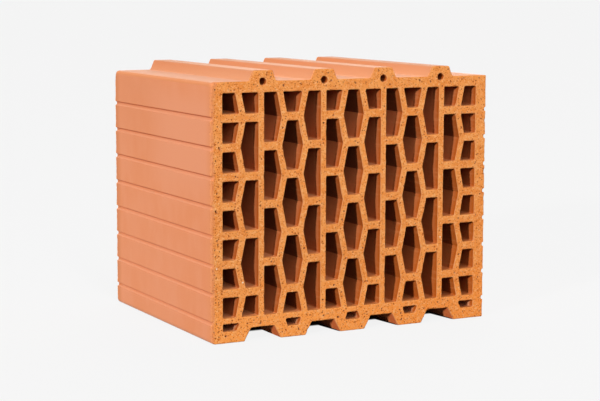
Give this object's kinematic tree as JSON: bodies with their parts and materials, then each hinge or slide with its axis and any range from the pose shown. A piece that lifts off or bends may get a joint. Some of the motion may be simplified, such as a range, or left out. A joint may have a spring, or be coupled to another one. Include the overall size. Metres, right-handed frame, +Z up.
{
  "type": "hollow clay block",
  "caption": "Large fired clay block with a honeycomb of cells right through it, tongues on top, grooves below and scored sides, laid in walls",
  "frame": {"origin": "on the ground, under the middle of the block", "axes": "+X across the wall that the block builds, +Y along its cells, +Z up from its grooves to its tongues, as it lies in the picture"},
  "size_m": [0.3, 0.238, 0.2535],
  "materials": {
    "clay": "unglazed fired clay, matt and fine-grained"
  },
  "bodies": {
    "root": {"clay_block": "clay"}
  },
  "joints": []
}
